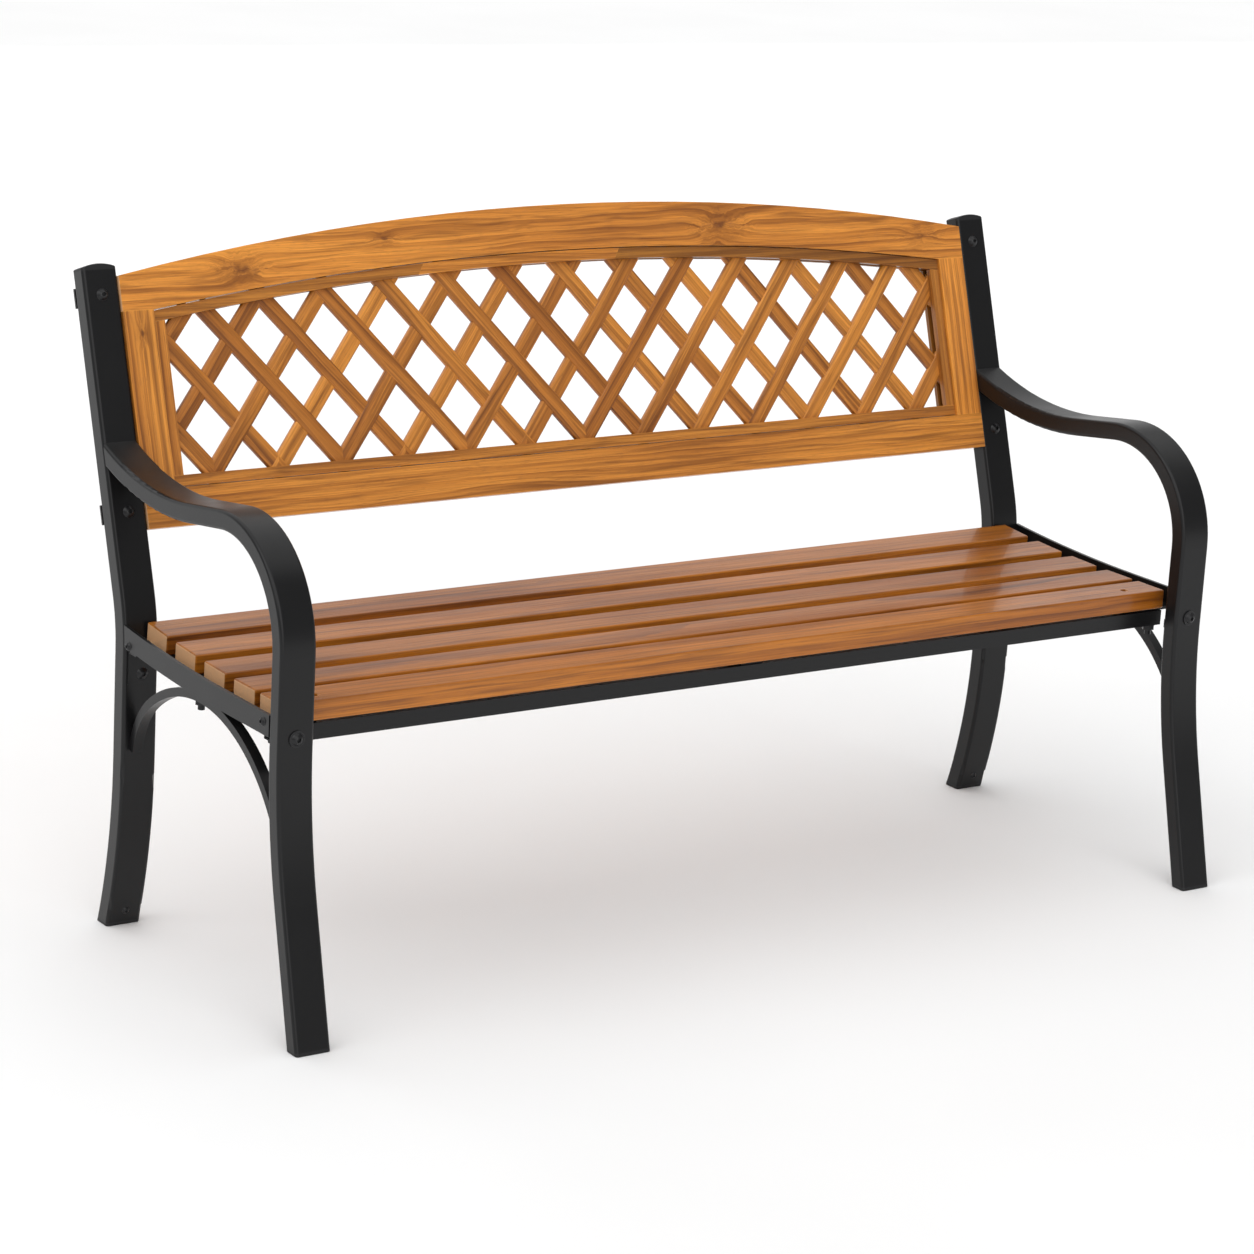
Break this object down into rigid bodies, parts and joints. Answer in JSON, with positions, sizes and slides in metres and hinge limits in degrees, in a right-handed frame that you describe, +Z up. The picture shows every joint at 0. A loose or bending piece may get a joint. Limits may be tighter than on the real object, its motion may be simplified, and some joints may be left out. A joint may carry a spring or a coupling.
{
  "type": "garden bench",
  "caption": "Outdoor bench with bent rectangular steel tube ends that form legs and armrests, a slatted wooden seat and a reclined wooden back with an arched top rail and diagonal lattice.",
  "frame": {"origin": "on the ground, under the middle of the bench's bounding box", "axes": "+X along the bench from its left end to its right end, +Y from the seat's front edge to the back, +Z up"},
  "size_m": [1.276, 0.5679, 0.7794],
  "materials": {
    "black_steel": "satin black powder coat",
    "black_hardware": "satin black",
    "black_plastic": "matt",
    "seat_wood": "oiled and varnished hardwood, semi-gloss",
    "panel_wood": "oiled and varnished hardwood, semi-gloss",
    "lattice_wood": "oiled and varnished hardwood, semi-gloss"
  },
  "bodies": {
    "root": {"arch_brace_left": "black_steel", "arch_brace_right": "black_steel", "back_bead_bottom": "lattice_wood", "back_bead_left": "lattice_wood", "back_bead_right": "lattice_wood", "back_bead_top": "lattice_wood", "back_strap_lower_left": "black_steel", "back_strap_lower_right": "black_steel", "back_strap_screws": "black_hardware", "back_strap_upper_left": "black_steel", "back_strap_upper_right": "black_steel", "bracket_bolts": "black_hardware", "centre_slat_strap": "black_steel", "cross_rail_studs": "black_hardware", "foot_screws": "black_hardware", "front_bead_bottom": "lattice_wood", "front_bead_left": "lattice_wood", "front_bead_right": "lattice_wood", "front_bead_top_left": "lattice_wood", "front_bead_top_middle": "lattice_wood", "front_bead_top_right": "lattice_wood", "front_cross_rail": "black_steel", "front_foot_cap_left": "black_plastic", "front_foot_cap_right": "black_plastic", "front_leg_and_armrest_left": "black_steel", "front_leg_and_armrest_right": "black_steel", "front_rail_bracket_left": "black_steel", "front_rail_bracket_right": "black_steel", "front_slat_screws": "black_hardware", "large_nuts": "black_hardware", "lattice_falling": "lattice_wood", "lattice_rising": "lattice_wood", "leg_bolts": "black_hardware", "panel_bottom_rail": "panel_wood", "panel_stile_left": "panel_wood", "panel_stile_right": "panel_wood", "panel_top_rail": "panel_wood", "post_bolts": "black_hardware", "post_cap_left": "black_plastic", "post_cap_right": "black_plastic", "rail_bolts": "black_hardware", "rear_cross_rail": "black_steel", "rear_foot_cap_left": "black_plastic", "rear_foot_cap_right": "black_plastic", "rear_post_left": "black_steel", "rear_post_right": "black_steel", "rear_rail_bracket_left": "black_steel", "rear_rail_bracket_right": "black_steel", "seat_side_rail_left": "black_steel", "seat_side_rail_right": "black_steel", "seat_slat_1": "seat_wood", "seat_slat_2": "seat_wood", "seat_slat_3": "seat_wood", "seat_slat_4": "seat_wood", "seat_slat_5": "seat_wood", "slat_screws": "black_hardware", "small_nuts": "black_hardware", "washers": "black_hardware"}
  },
  "joints": []
}
